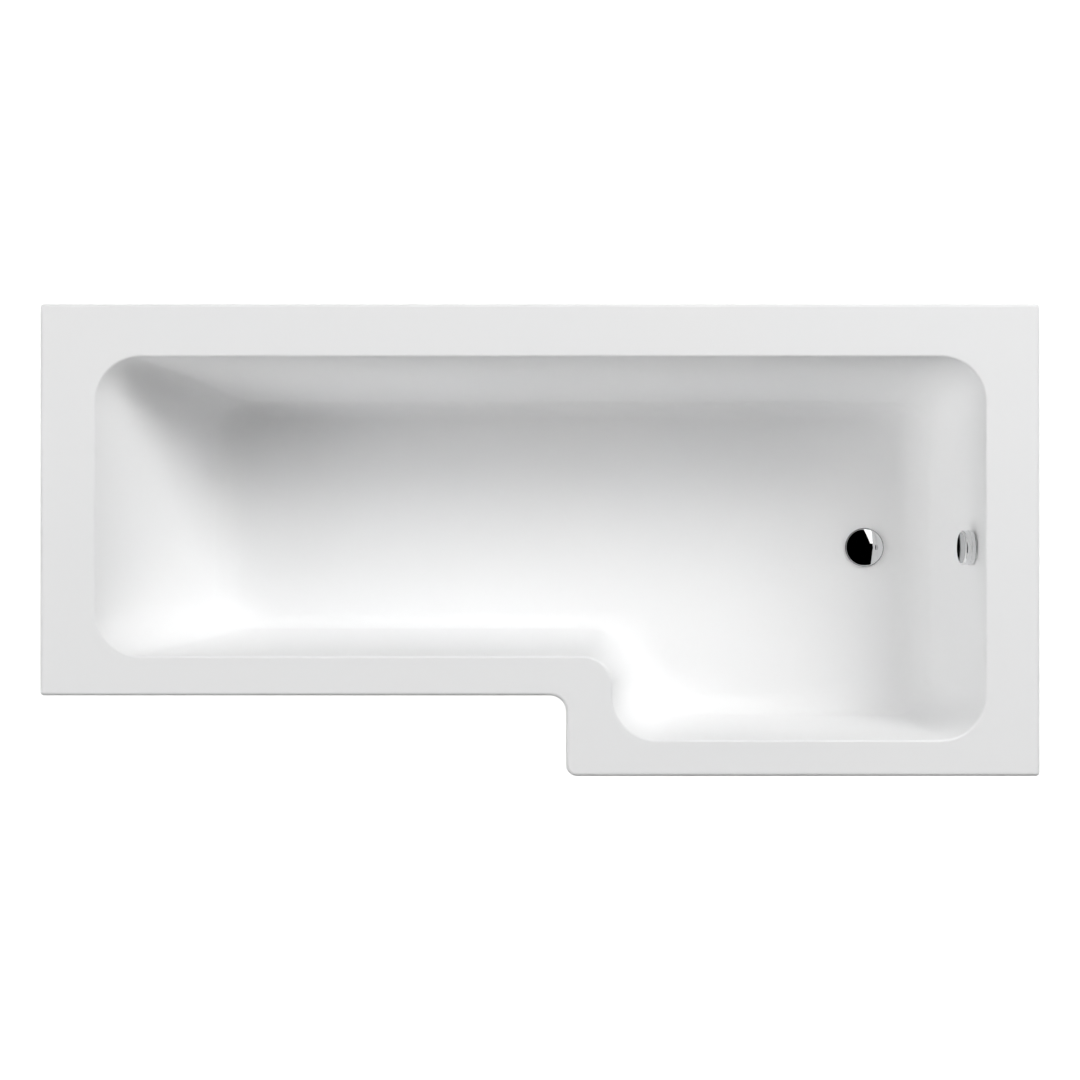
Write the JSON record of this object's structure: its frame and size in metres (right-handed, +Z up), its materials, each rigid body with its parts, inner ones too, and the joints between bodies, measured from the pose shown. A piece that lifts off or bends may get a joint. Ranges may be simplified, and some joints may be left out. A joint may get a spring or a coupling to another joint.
{
  "type": "l-shaped shower bath",
  "caption": "White acrylic L-shaped shower bath with a wide square end to stand in, pop-up waste worked by the overflow knob, rim battens and adjustable leg set.",
  "frame": {"origin": "on the floor, under the middle of the rim's bounding box", "axes": "+X along the bath to the waste end, +Y to the back wall, +Z up"},
  "size_m": [1.8, 0.85, 0.55],
  "materials": {
    "white_acrylic": "high-gloss sheet",
    "glass_fibre": "sprayed, rough",
    "chipboard": "raw chipboard",
    "softwood": "planed softwood",
    "galvanised_steel": "galvanised sheet",
    "zinc_steel": "bright zinc plate",
    "black_plastic": "fine moulded grain",
    "chrome": "polished chrome plate",
    "white_plastic": "moulded",
    "grey_hose": "flexible ribbed hose",
    "cable_sheath": "smooth sheath",
    "rubber_seal": "soft moulded seal"
  },
  "bodies": {
    "tub": {"acrylic_shell": "white_acrylic", "fibreglass_backing": "glass_fibre", "baseboard": "chipboard", "rim_batten_back": "softwood", "rim_batten_head_end": "softwood", "rim_batten_waste_end": "softwood", "rim_batten_front": "softwood", "rim_batten_step": "softwood", "rim_batten_shower_front": "softwood", "cross_bar_head": "galvanised_steel", "cross_bar_middle": "galvanised_steel", "cross_bar_waste": "galvanised_steel", "wall_bracket_back_head": "galvanised_steel", "wall_bracket_back_waste": "galvanised_steel", "wall_bracket_waste_end": "galvanised_steel", "bar_screws": "zinc_steel", "bracket_screws": "zinc_steel", "levelling_nuts": "zinc_steel", "levelling_washers": "zinc_steel", "lever_pin": "zinc_steel", "waste_flange": "chrome", "overflow_bezel": "chrome", "waste_body": "white_plastic", "overflow_body": "white_plastic", "hose_nut_upper": "white_plastic", "hose_nut_lower": "white_plastic", "overflow_hose": "grey_hose", "operating_cable": "cable_sheath", "flange_seal": "rubber_seal", "waste_body_seal": "rubber_seal", "overflow_gasket": "rubber_seal"},
    "knob": {"overflow_knob": "chrome", "knob_spindle": "chrome", "cable_crank": "white_plastic"},
    "plug": {"plug_cap": "chrome", "plug_seal": "rubber_seal", "plug_stem": "white_plastic"},
    "lever": {"lift_lever": "white_plastic"},
    "foot_head_front": {"foot_pad_head_front": "black_plastic", "foot_stud_head_front": "zinc_steel"},
    "foot_head_back": {"foot_pad_head_back": "black_plastic", "foot_stud_head_back": "zinc_steel"},
    "foot_middle_front": {"foot_pad_middle_front": "black_plastic", "foot_stud_middle_front": "zinc_steel"},
    "foot_middle_back": {"foot_pad_middle_back": "black_plastic", "foot_stud_middle_back": "zinc_steel"},
    "foot_waste_front": {"foot_pad_waste_front": "black_plastic", "foot_stud_waste_front": "zinc_steel"},
    "foot_waste_back": {"foot_pad_waste_back": "black_plastic", "foot_stud_waste_back": "zinc_steel"}
  },
  "joints": [
    {"name": "knob_turn", "type": "hinge", "parent": "tub", "child": "knob", "pos_m": [0.787, -0.014, 0.475], "axis": [-0.9806, 0, 0.1961], "range_deg": [0, 90]},
    {"name": "plug_lift", "type": "slide", "parent": "tub", "child": "plug", "axis": [0, 0, 1], "range_m": [0, 0.01]},
    {"name": "lever_rock", "type": "hinge", "parent": "tub", "child": "lever", "pos_m": [0.612, 0.006, 0.1167], "axis": [1, 0, 0], "range_deg": [-28.96, 0]},
    {"name": "foot_head_front_level", "type": "slide", "parent": "tub", "child": "foot_head_front", "axis": [0, 0, -1], "range_m": [-0.02, 0.03]},
    {"name": "foot_head_back_level", "type": "slide", "parent": "tub", "child": "foot_head_back", "axis": [0, 0, -1], "range_m": [-0.02, 0.03]},
    {"name": "foot_middle_front_level", "type": "slide", "parent": "tub", "child": "foot_middle_front", "axis": [0, 0, -1], "range_m": [-0.02, 0.03]},
    {"name": "foot_middle_back_level", "type": "slide", "parent": "tub", "child": "foot_middle_back", "axis": [0, 0, -1], "range_m": [-0.02, 0.03]},
    {"name": "foot_waste_front_level", "type": "slide", "parent": "tub", "child": "foot_waste_front", "axis": [0, 0, -1], "range_m": [-0.02, 0.03]},
    {"name": "foot_waste_back_level", "type": "slide", "parent": "tub", "child": "foot_waste_back", "axis": [0, 0, -1], "range_m": [-0.02, 0.03]}
  ],
  "couplings": [
    {"joint": "plug_lift", "follows": "knob_turn", "m_per_rad": 0.006366},
    {"joint": "lever_rock", "follows": "knob_turn", "ratio": -0.3217}
  ]
}
